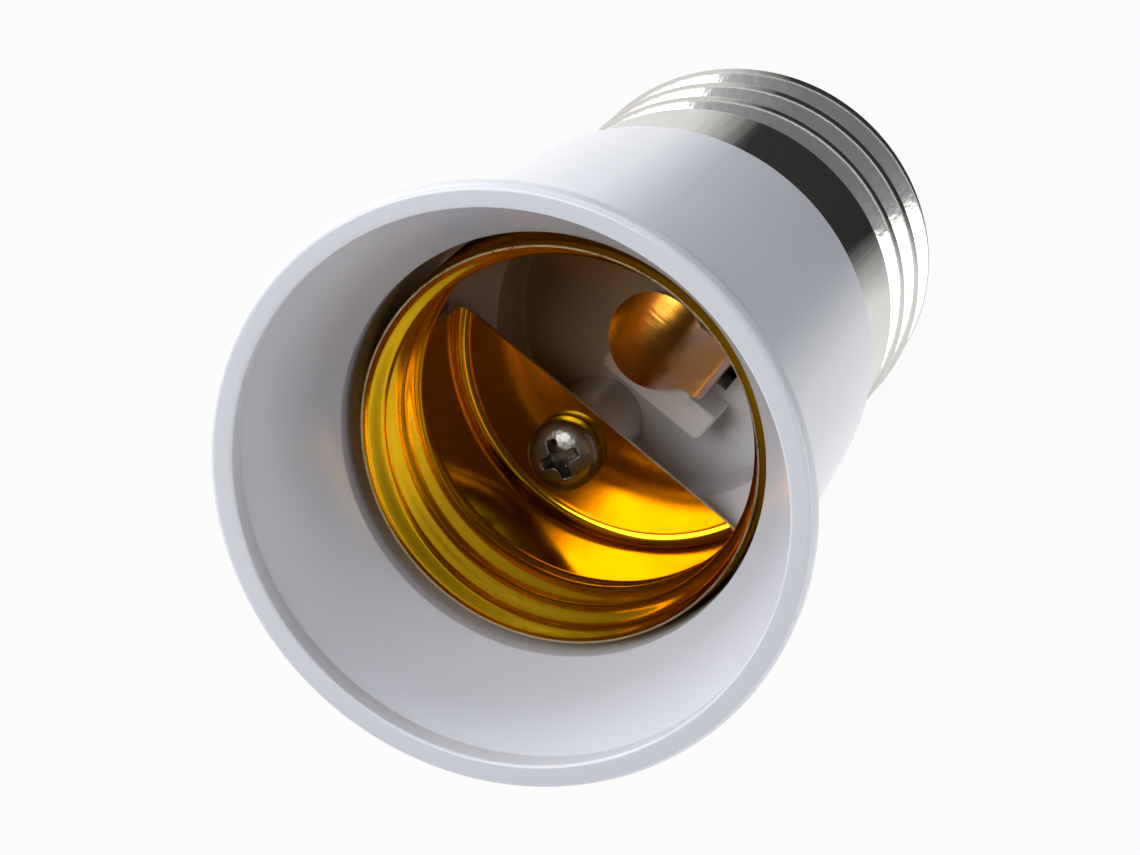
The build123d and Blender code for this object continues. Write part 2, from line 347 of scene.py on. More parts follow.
def group_sockets(group, inputs, outputs):
    """Gives a node group its named inputs with their defaults, and its named outputs."""
    for name, kind, value in inputs:
        socket = group.interface.new_socket(name=name, in_out="INPUT", socket_type=kind)
        socket.default_value = value
    for name, kind in outputs:
        group.interface.new_socket(name=name, in_out="OUTPUT", socket_type=kind)


def mottle_group():
    """Handled look shared by the finishes: cloudy patches and fine specks, as two masks and a height."""
    name = "handled mottle"
    if name in bpy.data.node_groups:
        return bpy.data.node_groups[name]
    group = bpy.data.node_groups.new(name, "ShaderNodeTree")
    group_sockets(
        group,
        [
            ("Patch Scale", "NodeSocketFloat", 120.0),
            ("Speck Scale", "NodeSocketFloat", 900.0),
            ("Stretch", "NodeSocketVector", (1.0, 1.0, 1.0)),
        ],
        [("Patches", "NodeSocketFloat"), ("Specks", "NodeSocketFloat"), ("Height", "NodeSocketFloat")],
    )
    nodes, links = group.nodes, group.links
    entry = nodes.new("NodeGroupInput")
    leave = nodes.new("NodeGroupOutput")
    where = nodes.new("ShaderNodeTexCoord")
    patches = nodes.new("ShaderNodeTexNoise")
    patches.inputs["Detail"].default_value = 4.0
    patches.inputs["Roughness"].default_value = 0.6
    specks = nodes.new("ShaderNodeTexNoise")
    specks.inputs["Detail"].default_value = 2.0
    drawn = nodes.new("ShaderNodeVectorMath")
    drawn.operation = "MULTIPLY"
    links.new(where.outputs["Object"], drawn.inputs[0])
    links.new(entry.outputs["Stretch"], drawn.inputs[1])
    links.new(where.outputs["Object"], patches.inputs["Vector"])
    links.new(drawn.outputs["Vector"], specks.inputs["Vector"])
    links.new(entry.outputs["Patch Scale"], patches.inputs["Scale"])
    links.new(entry.outputs["Speck Scale"], specks.inputs["Scale"])
    spread = ranged(nodes, links, patches.outputs["Fac"], 0.35, 0.68)
    sparse = ranged(nodes, links, specks.outputs["Fac"], 0.66, 0.74)
    links.new(spread, leave.inputs["Patches"])
    links.new(sparse, leave.inputs["Specks"])
    links.new(specks.outputs["Fac"], leave.inputs["Height"])
    return group


def new_material(name):
    """New material with its nodes, its links and its Principled shader."""
    material = bpy.data.materials.new(name)
    material.use_nodes = True
    nodes, links = material.node_tree.nodes, material.node_tree.links
    shader = nodes["Principled BSDF"]
    return material, nodes, links, shader


def place_mottle(nodes, patch_scale, speck_scale, stretch=(1, 1, 1)):
    """The handled look in one material, at its own scales and stretch."""
    mottle = nodes.new("ShaderNodeGroup")
    mottle.node_tree = mottle_group()
    mottle.inputs["Patch Scale"].default_value = patch_scale
    mottle.inputs["Speck Scale"].default_value = speck_scale
    mottle.inputs["Stretch"].default_value = stretch
    return mottle


def mix_colours(nodes, links, mask, one, two):
    """Colour that goes from one to two as the mask goes from 0 to 1, where each is a tint or a socket."""
    mix = nodes.new("ShaderNodeMix")
    mix.data_type = "RGBA"
    for name, source in (("A", one), ("B", two)):
        if isinstance(source, bpy.types.NodeSocket):
            links.new(source, mix.inputs[name])
        else:
            mix.inputs[name].default_value = (*source, 1)
    links.new(mask, mix.inputs["Factor"])
    return mix.outputs["Result"]


def mapped(nodes, links, value, low, high):
    """Value from 0 to 1 carried to the range from low to high."""
    span = nodes.new("ShaderNodeMapRange")
    span.inputs["To Min"].default_value = low
    span.inputs["To Max"].default_value = high
    links.new(value, span.inputs["Value"])
    return span.outputs["Result"]


def ranged(nodes, links, value, low, high):
    """0 where the value is at low, 1 where it is at high, and a straight run between them."""
    span = nodes.new("ShaderNodeMapRange")
    span.inputs["From Min"].default_value = low
    span.inputs["From Max"].default_value = high
    links.new(value, span.inputs["Value"])
    return span.outputs["Result"]


def bumped(nodes, links, shader, height, strength, distance):
    """Bump on the shader's normal from a height, with its distance in metres."""
    bump = nodes.new("ShaderNodeBump")
    bump.inputs["Strength"].default_value = strength
    bump.inputs["Distance"].default_value = distance
    links.new(height, bump.inputs["Height"])
    links.new(bump.outputs["Normal"], shader.inputs["Normal"])


def linked_math(nodes, links, operation, one, two):
    """One sum, product or test of two sockets."""
    node = nodes.new("ShaderNodeMath")
    node.operation = operation
    links.new(one, node.inputs[0])
    links.new(two, node.inputs[1])
    return node.outputs[0]


def vector_step(nodes, links, operation, source, other=None):
    """One step of vector arithmetic on a socket, with a fixed second vector where it needs one."""
    node = nodes.new("ShaderNodeVectorMath")
    node.operation = operation
    links.new(source, node.inputs[0])
    if other is not None:
        node.inputs[1].default_value = other
    return node


def object_place(nodes, links):
    """Object coordinates, and the same split into X, Y and Z."""
    where = nodes.new("ShaderNodeTexCoord").outputs["Object"]
    split = nodes.new("ShaderNodeSeparateXYZ")
    links.new(where, split.inputs["Vector"])
    return where, split.outputs


def shade(tint, factor):
    """Tint made lighter or darker by a factor."""
    return tuple(min(1.0, channel * factor) for channel in tint)


def cavity_painted_shade_mask(nodes, links):
    """Painted shade mask: 1 deep inside the socket and 0 on the bell, from the distance to the axis and the
    height, and weaker toward -X where the key lamp reaches in.
    """
    neck_reach, bore_reach = 0.0126, 0.0144
    neck_z, bore_z = 0.0003, 0.0012
    light_z, dark_z = 0.016, 0.003
    lit_x, screened_x = -0.006, 0.003
    lit_share = 0.12
    where, split = object_place(nodes, links)
    flat = vector_step(nodes, links, "MULTIPLY", where, (1, 1, 0))
    radius = vector_step(nodes, links, "LENGTH", flat.outputs["Vector"])
    wide = ranged(nodes, links, split["Z"], neck_z, bore_z)
    wide = mapped(nodes, links, wide, neck_reach, bore_reach)
    inside = linked_math(nodes, links, "LESS_THAN", radius.outputs["Value"], wide)
    deep = ranged(nodes, links, split["Z"], light_z, dark_z)
    screened = ranged(nodes, links, split["X"], lit_x, screened_x)
    screened = mapped(nodes, links, screened, lit_share, 1.0)
    deep = linked_math(nodes, links, "MULTIPLY", deep, screened)
    return linked_math(nodes, links, "MULTIPLY", inside, deep)


def plastic_material():
    """Glossy white moulding with a faint cloudy tint and fine surface waves, and painted shade deep in the
    socket: a darker, brass-warm tint for shade and light bounced off the brass.
    """
    material, nodes, links, shader = new_material("white moulding")
    mottle = place_mottle(nodes, 55.0, 420.0)
    tint = tuple(colours().plastic)
    outside = mix_colours(nodes, links, mottle.outputs["Patches"], shade(tint, 0.985), shade(tint, 1.012))
    # Painted shade and painted brass bounce deep in the socket, strongest where the key lamp is screened
    whole = mix_colours(nodes, links, cavity_painted_shade_mask(nodes, links), outside, colours().cavity_painted_shade)
    links.new(whole, shader.inputs["Base Color"])
    links.new(mapped(nodes, links, mottle.outputs["Patches"], 0.14, 0.20), shader.inputs["Roughness"])
    shader.inputs["IOR"].default_value = 1.52
    shader.inputs["Subsurface Weight"].default_value = 0.08
    shader.inputs["Subsurface Radius"].default_value = (0.0012, 0.0011, 0.001)
    bumped(nodes, links, shader, mottle.outputs["Height"], 0.05, 0.00005)
    return material


def metal_material(name, tint, worn, scales, rough, bump, speck=0.25, stretch=(1, 1, 1), edge=WHITE):
    """Sheet metal: its own tint with darker patches and specks, and a roughness that follows them.

    Scales are the patches' and the specks', rough is the range of roughness, speck is how far the specks
    darken the tint, stretch draws them out, and edge is the tint at grazing angles.
    """
    speck_shade, bump_height = 0.45, 0.00004
    material, nodes, links, shader = new_material(name)
    mottle = place_mottle(nodes, *scales, stretch)
    base = mix_colours(nodes, links, mottle.outputs["Patches"], tint, worn)
    specks = mapped(nodes, links, mottle.outputs["Specks"], 0.0, speck)
    specked = mix_colours(nodes, links, specks, base, shade(worn, speck_shade))
    links.new(specked, shader.inputs["Base Color"])
    shader.inputs["Metallic"].default_value = 1.0
    shader.inputs["Specular Tint"].default_value = (*edge, 1)
    links.new(mapped(nodes, links, mottle.outputs["Patches"], *rough), shader.inputs["Roughness"])
    bumped(nodes, links, shader, mottle.outputs["Height"], bump, bump_height)
    return material


def brass_material():
    """Bright rolled brass that stays yellow at grazing angles."""
    tint = tuple(colours().brass)
    edge = (0.95, 0.65, 0.12)
    scales = (160.0, 1300.0)
    return metal_material("bright brass", tint, shade(tint, 0.86), scales, (0.10, 0.16), 0.0, edge=edge)


def cut_brass_material():
    """Paler, rougher brass of sheared edges."""
    tint = tuple(colours().cut_brass)
    return metal_material("cut brass", tint, shade(tint, 0.6), (500.0, 2600.0), (0.25, 0.42), 0.5)


def bronze_material():
    """Bronze leaf drawn along X, duller and a paler pink bronze on its tab and leg; the leaf's bronze is
    deepened to a darker orange, a painted reflection of the brass wall.
    """
    leaf_x, tab_x = -0.001, -0.0022
    tab_rough = 0.22
    tint = tuple(colours().bronze)
    worn = (tint[0] * 0.74, tint[1] * 0.62, tint[2] * 0.5)
    drawn = (0.06, 1, 1)
    material = metal_material("bronze sheet", tint, worn, (260.0, 1800.0), (0.13, 0.26), 0.5, stretch=drawn)
    nodes, links = material.node_tree.nodes, material.node_tree.links
    base = nodes["Principled BSDF"].inputs["Base Color"]
    rough = nodes["Principled BSDF"].inputs["Roughness"]
    split = object_place(nodes, links)[1]
    tab_side = ranged(nodes, links, split["X"], leaf_x, tab_x)
    # Painted reflection: the leaf keeps the darker orange tint, the tab and leg the paler bronze
    links.new(mix_colours(nodes, links, tab_side, base.links[0].from_socket, colours().tab_bronze), base)
    duller = mapped(nodes, links, tab_side, 0.0, tab_rough)
    links.new(linked_math(nodes, links, "ADD", rough.links[0].from_socket, duller), rough)
    return material


def nickel_material():
    """Nickel plate with streaks drawn along the axis."""
    tint = tuple(colours().nickel)
    drawn = (1, 1, 0.04)
    scales = (140.0, 1500.0)
    return metal_material("nickel plate", tint, shade(tint, 0.86), scales, (0.12, 0.2), 0.6, 0.06, drawn)


def steel_material():
    """Dull plated steel of the screw."""
    tint = tuple(colours().steel)
    return metal_material("plated steel", tint, shade(tint, 0.7), (420.0, 2600.0), (0.28, 0.42), 0.9)


def dull_material(name, tint, rough):
    """Plain moulded or drawn finish with a soft cloudy tint."""
    material, nodes, links, shader = new_material(name)
    mottle = place_mottle(nodes, 180.0, 900.0)
    cloudy = mix_colours(nodes, links, mottle.outputs["Patches"], tint, shade(tint, 1.35))
    links.new(cloudy, shader.inputs["Base Color"])
    links.new(mapped(nodes, links, mottle.outputs["Patches"], *rough), shader.inputs["Roughness"])
    return material


def dress(piece, materials, body, slot, *nodes):
    """Gives a new piece its materials and body and hides the CAD nodes that it stands for; the slot is not
    used.
    """
    for one in materials:
        piece.data.materials.append(one)
    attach(piece, body)
    if nodes:
        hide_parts(*nodes)


# Shapes of the pieces


def floor_ring_r(s):
    """Radius where the inside's section starts on the floor, clear of the round at the pocket's foot."""
    return s.pocket_floor_r - 2.0


def housing_outlines(s):
    """Sections of the moulding in radius and height.

    The outside runs from the mouth down to the neck's end: a rounded lip, a flare, and a barrel that is a
    straight line plus a parabola of the crown's height. The inside runs from the floor up to the mouth.
    """
    flare_drop, lip_start = 0.4, 0.4
    lip_rounds = [0.42, 0.12, 5.0]
    shoulder_round = 0.5
    inner_rounds = [0.5, 0.25, 0.3, 0.35, 0.3, 0.2]
    top = (s.barrel_r, s.bore_z - flare_drop)
    foot = (s.shoulder_r, 0.0)
    run = np.linspace(0, 1, 40)[1:-1]
    swell = s.barrel_crown * 4 * run * (1 - run)
    barrel_r = top[0] + (foot[0] - top[0]) * run + swell
    barrel = np.stack([barrel_r, top[1] + (foot[1] - top[1]) * run], -1)
    lip = [
        (s.lip_r + lip_start, s.mouth_z),
        (s.mouth_r, s.mouth_z),
        (s.mouth_r, s.mouth_z - s.lip_band),
        top,
        tuple(barrel[0]),
    ]
    upper = rounded(lip, lip_rounds, 9)[:-1]
    back = rounded([tuple(barrel[-1]), foot, (s.neck_r, 0.0)], [shoulder_round], 9)
    outside = np.concatenate([upper, barrel, back[1:], [(s.neck_r, s.under_z)]])
    inner = [
        (floor_ring_r(s), s.floor_z),
        (s.pocket_floor_r, s.floor_z),
        (s.pocket_r, s.pocket_z),
        (s.bore_back_r, s.ledge_z),
        (s.bore_r, s.bore_z),
        (s.lip_r, s.mouth_z - s.lip_step),
        (s.lip_r, s.mouth_z),
        (s.lip_r + lip_start, s.mouth_z),
    ]
    return outside, rounded(inner, inner_rounds)


def slot_box(s):
    """Slot in the floor that the contact's leg hangs in: its lower and upper corner in X and Y."""
    near = s.leg_x + s.contact_sheet / 2
    far = s.leg_x - s.contact_sheet / 2
    low = (far - s.slot_behind, -s.tab_far - s.slot_side)
    high = (near + s.slot_before, s.tab_near + s.slot_side)
    return low, high


def slot_loop(s, cols):
    """Loop on the slot's rectangle, where lines from its middle to an even ring on the floor cross it."""
    low, high = np.array(slot_box(s))
    middle, half = (low + high) / 2, (high - low) / 2
    turn = np.linspace(0, 2 * math.pi, cols, endpoint=False)
    ring = floor_ring_r(s) * np.stack([np.cos(turn), np.sin(turn)], -1)
    away = ring - middle
    return middle + away * np.min(half / np.maximum(abs(away), 1e-9), axis=1, keepdims=True)


def at_height(loop, z):
    """A flat loop's points at one height."""
    return np.column_stack([loop, np.full(len(loop), z)])


def housing_mesh(s):
    """Turned outside and inside, joined through the floor by the slot's walls."""
    cols, longest_side = 288, 1.6
    outside, inside = (turned(finer(outline, longest_side), cols) for outline in housing_outlines(s))
    loop = slot_loop(s, cols)
    walls = np.stack([at_height(loop, z) for z in (s.under_z, s.floor_z)])
    points = np.concatenate([outside, walls, inside])
    return points, grid_faces(len(points), cols, closed=True)


def pad_loop(s, inset):
    """Plan of the block under the contact, cut back at the slot, with every side moved in by the inset."""
    slot_clear, arm_round, notch_round = 0.01, 0.2, 0.15
    near = slot_box(s)[1][0] + slot_clear + inset
    end = near - s.pad_arm
    free = s.pad_past_axis - inset
    side = s.pad_half_width - inset
    cut = s.tab_near + s.pad_arm_gap + inset
    start = ((near + free) / 2, -side)
    corners = [start, (free, -side), (free, side), (end, side)]
    corners += [(end, cut), (near, cut), (near, -side), start]
    soft = s.pad_round - inset
    return rounded(corners, [soft, soft, soft, arm_round, notch_round + inset, arm_round], 8)[:-1]


def pad_mesh(s):
    """Block under the contact: its plan carried up the side, over a round edge and to a point on top."""
    edge, sunk = 0.35, 0.3
    top_point = (-3.4, 2.6, s.pad_z)
    turn = np.radians(np.linspace(0, 90, 7))
    levels = [(s.floor_z - sunk, 0.0)]
    levels += list(zip(s.pad_z - edge + edge * np.sin(turn), edge * (1 - np.cos(turn))))
    rows = [at_height(pad_loop(s, inset), z) for z, inset in levels]
    rows.append(np.tile(top_point, (len(rows[0]), 1)))
    points = np.stack(rows)
    return points, grid_faces(len(rows), points.shape[1], closed=True)


def boss_mesh(s):
    """Post under the socket plate: a cylinder with a small round at its upper edge."""
    cols, edge, sunk, longest_side = 96, 0.25, 0.3, 1.5
    top = s.plate_z - s.shell_sheet
    foot = [(s.boss_r, s.floor_z - sunk)]
    shoulder = arc((s.boss_r - edge, top - edge), edge, 0, 90, 6)
    outline = np.concatenate([foot, shoulder, [(0.0, top)]])
    points = turned(finer(outline, longest_side), cols)
    points[..., 1] += s.screw_y
    return points, grid_faces(len(points), cols, closed=True)


def shell_columns(s, fillet, wide, narrow):
    """Turns round the shell: an even run over the half cup, then an even run over the open side."""
    start = math.asin(s.plate_chord / s.shell_r) - fillet / s.shell_r
    end = math.pi - start
    cup = np.linspace(start, end, wide)
    gap = np.linspace(end, start + 2 * math.pi, narrow + 1)[1:-1]
    return np.concatenate([cup, gap])


def thread_wave(height, turn, crest_at, pitch):
    """1 on the crest of a right-hand helix, 0 at its root: half of one plus the cosine along the pitch."""
    phase = (height - crest_at - pitch * turn / (2 * math.pi)) / pitch
    return 0.5 + 0.5 * np.cos(2 * math.pi * phase)


def shell_ring(s, offset, turn):
    """Thread ring: the wall's radius, less the thread's depth times a helix wave that fades at both ends.

    The sheet thins towards the rim.
    """
    fade_over, fade_under = 0.1, 1.5
    tail_end, tail_start = 12.0, 13.4
    thinning, thin_band = 0.6, 0.7
    crest_z, crest_turn = SOCKET_CREST
    height = np.linspace(s.rim_z, s.ring_end_z, 90)[:, None]
    fade = smooth(s.rim_z + fade_over, s.rim_z - fade_under, height) * smooth(tail_end, tail_start, height)
    wave = thread_wave(height, turn[None, :], crest_z - s.pitch * crest_turn / 360, s.pitch)
    thinned = offset * (1 - thinning * smooth(s.rim_z - thin_band, s.rim_z, height))
    return around_axis(s.shell_r + thinned - s.thread_depth * fade * wave, turn, height)


def shell_cup(s, offset, fillet, wide):
    """Half cup: arcs round the axis at each radius of wall, bend and plate, cut where they meet the chord.

    The first rows are wider by a quarter round of the fillet, which joins the cup's sides to the ring.
    """
    fillet_rows, past_chord = 8, 0.01
    bend_z = s.plate_z + s.shell_bend
    near = np.linspace(0, fillet, fillet_rows + 1)[1:]
    wall = np.concatenate([s.ring_end_z - near, np.linspace(s.ring_end_z - fillet, bend_z, 10)[1:]])
    bend = arc((s.shell_r - s.shell_bend, bend_z), s.shell_bend + offset, 0, -90, 9)[1:]
    plate_r = np.linspace(s.shell_r - s.shell_bend, s.plate_chord + past_chord, 40)[1:]
    plate = np.stack([plate_r, np.full_like(plate_r, s.plate_z - offset)], -1)
    outline = np.concatenate([np.stack([np.full_like(wall, s.shell_r + offset), wall], -1), bend, plate])
    start = np.arcsin(np.clip(s.plate_chord / outline[:, 0], 0, 1))
    widen = np.zeros(len(outline))
    rest = np.clip(fillet - near, 0, None)
    widen[:fillet_rows] = (fillet - np.sqrt(np.maximum(fillet**2 - rest**2, 0))) / s.shell_r
    start = (start - widen)[:, None]
    share = np.linspace(0, 1, wide)[None, :]
    turn = start + share * (math.pi - 2 * start)
    return around_axis(outline[:, :1], turn, outline[:, 1:])


def shell_mesh(s):
    """Both faces of the brass sheet, with strips along its rim, its lower edge and the plate's cut edge."""
    wide, narrow, fillet = 150, 130, 0.8
    turn = shell_columns(s, fillet, wide, narrow)
    inside, outside = (shell_ring(s, offset, turn) for offset in (0.0, s.shell_sheet))
    inside_cup, outside_cup = (shell_cup(s, offset, fillet, wide) for offset in (0.0, s.shell_sheet))
    rows, cols = inside.shape[:2]
    cup_rows = inside_cup.shape[0]
    count = rows * cols + cup_rows * wide
    faces, edges = [], []
    for first in (0, count):
        ring_last = first + (rows - 1) * cols + np.arange(wide)
        cup = first + rows * cols + np.arange(cup_rows * wide).reshape(cup_rows, wide)
        faces.append(grid_faces(rows, cols, first, closed=True))
        faces.append(strip_faces(ring_last, cup[0]))
        faces.append(grid_faces(cup_rows, wide, first + rows * cols))
        rim = first + np.append(np.arange(cols), 0)
        low = first + (rows - 1) * cols + np.append(np.arange(wide - 1, cols), 0)
        side_a = np.concatenate([[ring_last[0]], cup[:, 0]])
        side_b = np.concatenate([[ring_last[-1]], cup[:, -1]])
        edges.append([rim, low, side_a, side_b, cup[-1]])
    plain = sum(len(some) for some in faces)
    for one, other in zip(*edges):
        faces.append(strip_faces(one, other))
    points = np.concatenate([part.reshape(-1, 3) for part in (inside, inside_cup, outside, outside_cup)])
    points[:, 0] -= s.shell_shift
    faces = np.concatenate(faces)
    return points, faces, (np.arange(len(faces)) >= plain).astype(int)


def cap_side(s, offset, cols):
    """One face of the cap's sheet: the wall's radius, or the cone's at the end, less the thread's depth
    times a helix wave that fades at both ends.
    """
    skirt = np.linspace(-0.03, -9.0, 10)
    thread = np.linspace(-9.1, -21.1, 150)
    cone = np.linspace(-21.2, s.cap_end_z, 16)
    thread_start, full_depth = -9.1, -10.5
    thread_end, last_full = -21.0, -19.9
    crest_below, crest_turn = CAP_CREST
    turn = np.linspace(0, 2 * math.pi, cols, endpoint=False)
    height = np.concatenate([skirt, thread, cone])[:, None]
    down_cone = np.clip((s.cone_z - height) / (s.cone_z - s.cap_end_z), 0, 1)
    base = s.cap_r - (s.cap_r - s.cap_end_r) * down_cone
    fade = smooth(thread_start, full_depth, height) * smooth(thread_end, last_full, height)
    crest_at = s.mouth_z - crest_below - s.pitch * crest_turn / 360
    wave = 1 - thread_wave(height, turn[None, :], crest_at, s.pitch)
    return around_axis(base - offset - s.thread_depth * fade * wave, turn, height)


def cap_mesh(s):
    """Both faces of the cap's sheet, with a strip round each end."""
    cols = 256
    outside, inside = cap_side(s, 0.0, cols), cap_side(s, s.cap_sheet, cols)
    rows = len(outside)
    count = rows * cols
    ring = np.append(np.arange(cols), 0)
    faces = [grid_faces(rows, cols, 0, closed=True), grid_faces(rows, cols, count, closed=True)]
    faces.append(strip_faces(ring, ring + count))
    faces.append(strip_faces(ring + count - cols, ring + 2 * count - cols))
    return np.concatenate([outside.reshape(-1, 3), inside.reshape(-1, 3)]), np.concatenate(faces)


def screw_mesh(s):
    """Pan head as a height over radius and turn, sunk where a tapered cross lies, on a plain shank.

    The head is a superellipse over its rim. The cross is the larger of two arms, which narrow outwards,
    and a round core, each fading at its edge.
    """
    cols, cross_turn, crown_power = 240, 0.5, 2.4
    rim_height, head_edge, end_edge = 0.85, 0.1, 0.3
    arm_half, arm_edge, arm_taper = 0.26, 0.46, 0.06
    arm_full, arm_end = 0.75, 1.5
    core_full, core_end, core_share = 0.35, 0.8, 0.85
    recess_depth = 1.15
    rim = s.plate_z + rim_height
    rise = s.plate_z + s.head_height - rim
    radius = np.concatenate([[0.0], np.linspace(0.05, s.head_r, 90)])[:, None]
    turn = np.linspace(0, 2 * math.pi, cols, endpoint=False)
    crown = rim + rise * np.sqrt(np.clip(1 - (radius / s.head_r) ** crown_power, 0, 1))
    x, y = radius * np.cos(turn + cross_turn), radius * np.sin(turn + cross_turn)
    along, across = np.maximum(abs(x), abs(y)), np.minimum(abs(x), abs(y))
    arm = 1 - smooth(arm_half, arm_edge, across + arm_taper * along)
    reach = 1 - smooth(arm_full, arm_end, along)
    core = 1 - smooth(core_full, core_end, np.hypot(x, y))
    height = crown - recess_depth * np.maximum(arm * reach, core_share * core)
    head = np.stack([radius * np.cos(turn), radius * np.sin(turn), height], -1)
    shank = [
        (s.head_r, s.plate_z + head_edge),
        (s.head_r - head_edge, s.plate_z),
        (s.screw_r, s.plate_z),
        (s.screw_r, s.screw_end_z + end_edge),
        (s.screw_r - end_edge, s.screw_end_z),
        (0.0, s.screw_end_z),
    ]
    points = np.concatenate([head, turned(np.array(shank), cols)])
    points[..., 1] += s.screw_y
    return points.reshape(-1, 3), grid_faces(len(points), cols, closed=True)


def leaf_line(s):
    """Middle line of the contact strip in X and Z, with its turn: leg, fold, sloping tab and domed leaf."""
    slope = math.radians(TAB_SLOPE)
    leg = np.linspace((s.leg_x, s.leg_end_z), (s.leg_x, s.fold_z), LEG_ROWS)
    turn = np.linspace(math.pi / 2, slope, FOLD_ROWS)[1:]
    fold_x = s.leg_x + s.fold_r * (1 - np.sin(turn))
    fold = np.stack([fold_x, s.fold_z + s.fold_r * np.cos(turn)], -1)
    run = np.linspace(0, s.tab_length, 10)[1:, None]
    tab = fold[-1] + run * np.array([math.cos(slope), math.sin(slope)])
    sweep = np.linspace(slope, slope - math.radians(DOME_TURN), 60)[1:]
    centre = tab[-1] + s.dome_r * np.array([math.sin(slope), -math.cos(slope)])
    dome = centre + s.dome_r * np.stack([-np.sin(sweep), np.cos(sweep)], -1)
    turns = [np.full(len(leg), math.pi / 2), turn, np.full(len(tab), slope), sweep]
    return np.concatenate([leg, fold, tab, dome]), np.concatenate(turns)


def leaf_edges(s, line):
    """Both edges of the strip in Y: the tab's, or the round leaf's circle where that is wider."""
    x = line[:, 0]
    round_half = np.sqrt(np.clip(s.contact_r**2 - x**2, 0.0, None))
    on_tab = x < 0
    near = np.maximum(round_half, np.where(on_tab, s.tab_near, 0.0))
    far = np.maximum(round_half, np.where(on_tab, s.tab_far, 0.0))
    return -far, near


def leaf_mesh(s):
    """Bent strip: its middle line moved half a sheet along its normal each way, carried across its width.

    The round leaf drops at both sides by a share of the distance from the middle, squared.
    """
    cols, tip_margin, tip_inset = 41, 0.01, 0.002
    side_drop, drop_start, drop_full = 0.02, -2.4, -1.0
    line, turn = leaf_line(s)
    past_fold = line[LEG_ROWS + FOLD_ROWS :]
    tip_z = np.interp(s.contact_r, past_fold[:, 0], past_fold[:, 1])
    on_leaf = line[:, 0] < s.contact_r - tip_margin
    line = np.concatenate([line[on_leaf], [(s.contact_r - tip_inset, tip_z)]])
    turn = np.append(turn[on_leaf], turn[on_leaf][-1])
    far, near = leaf_edges(s, line)
    share = np.linspace(0, 1, cols)[None, :]
    y = far[:, None] + share * (near - far)[:, None]
    normal = np.stack([-np.sin(turn), np.cos(turn)], -1)
    drop = side_drop * y**2 * smooth(drop_start, drop_full, line[:, :1])
    sides = []
    for offset in (s.contact_sheet / 2, -s.contact_sheet / 2):
        place = line + offset * normal
        sides.append(np.stack([np.repeat(place[:, :1], cols, 1), y, place[:, 1:] - drop], -1))
    rows = len(line)
    count = rows * cols
    grid = np.arange(count).reshape(rows, cols)
    faces = [grid_faces(rows, cols, 0), grid_faces(rows, cols, count)]
    for edge in (grid[0], grid[-1], grid[:, 0], grid[:, -1]):
        faces.append(strip_faces(edge, edge + count))
    return np.concatenate([side.reshape(-1, 3) for side in sides]), np.concatenate(faces)


# Operators


class ADAPTER_OT_housing(bpy.types.Operator):
    """Moulded housing: turned section, block under the contact and post under the plate"""

    bl_idname = "adapter.housing"
    bl_label = "Housing"

    def execute(self, context):
        s = sizes()
        parts = [housing_mesh(s), pad_mesh(s), boss_mesh(s)]
        piece = make_piece("housing_moulding", *joined(parts), sharp=40)
        dress(piece, [plastic_material()], BODY, "white_plastic", "housing")
        return {"FINISHED"}


class ADAPTER_OT_socket(bpy.types.Operator):
    """Brass socket shell with a helical thread, a half cup and a plate, and the screw that holds it"""

    bl_idname = "adapter.socket"
    bl_label = "Socket shell and screw"

    def execute(self, context):
        s = sizes()
        points, faces, finish = shell_mesh(s)
        shell = make_piece("socket_shell_rolled", points, faces, sharp=50, finish=finish)
        dress(shell, [brass_material(), cut_brass_material()], BODY, "bright_brass", "socket_shell")
        screw = make_piece("shell_screw_head", *screw_mesh(s), sharp=50)
        dress(screw, [steel_material()], BODY, "zinc_steel", "shell_screw")
        return {"FINISHED"}


class ADAPTER_OT_contact(bpy.types.Operator):
    """Centre contact: bent bronze leaf with its tab and leg"""

    bl_idname = "adapter.contact"
    bl_label = "Centre contact"

    def execute(self, context):
        piece = make_piece("centre_contact_leaf", *leaf_mesh(sizes()), sharp=50)
        dress(piece, [bronze_material()], CONTACT_BODY, "bronze_sheet", "centre_contact")
        return {"FINISHED"}


class ADAPTER_OT_cap(bpy.types.Operator):
    """Screw cap with a rolled helical thread, and the finishes of the pieces at its end"""

    bl_idname = "adapter.cap"
    bl_label = "Screw cap"

    def execute(self, context):
        piece = make_piece("cap_shell_rolled", *cap_mesh(sizes()), sharp=50)
        nickel = nickel_material()
        dress(piece, [nickel], BODY, "nickel_plate", "cap_shell")
        finishes = {
            "tip_contact": nickel,
            "cap_insulator": dull_material("black plug", tuple(colours().insulator), (0.18, 0.3)),
            "live_lead": dull_material("lead sleeve", tuple(colours().lead), (0.4, 0.55)),
            "neutral_strap": bpy.data.materials["bright brass"],
        }
        for node, material in finishes.items():
            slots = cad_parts[node].data.materials
            for index in range(len(slots)):
                slots[index] = material
        return {"FINISHED"}


def soft_lamp(name, place, size, power):
    """Rectangular softbox at a place in metres that faces the part."""
    data = bpy.data.lights.new(name, "AREA")
    data.shape = "RECTANGLE"
    data.size, data.size_y = size
    data.energy = power
    lamp = bpy.data.objects.new(name, data)
    bpy.context.scene.collection.objects.link(lamp)
    lamp.location = place
    lamp.rotation_euler = (Vector(LAMP_AIM) - Vector(place)).to_track_quat("-Z", "Y").to_euler()


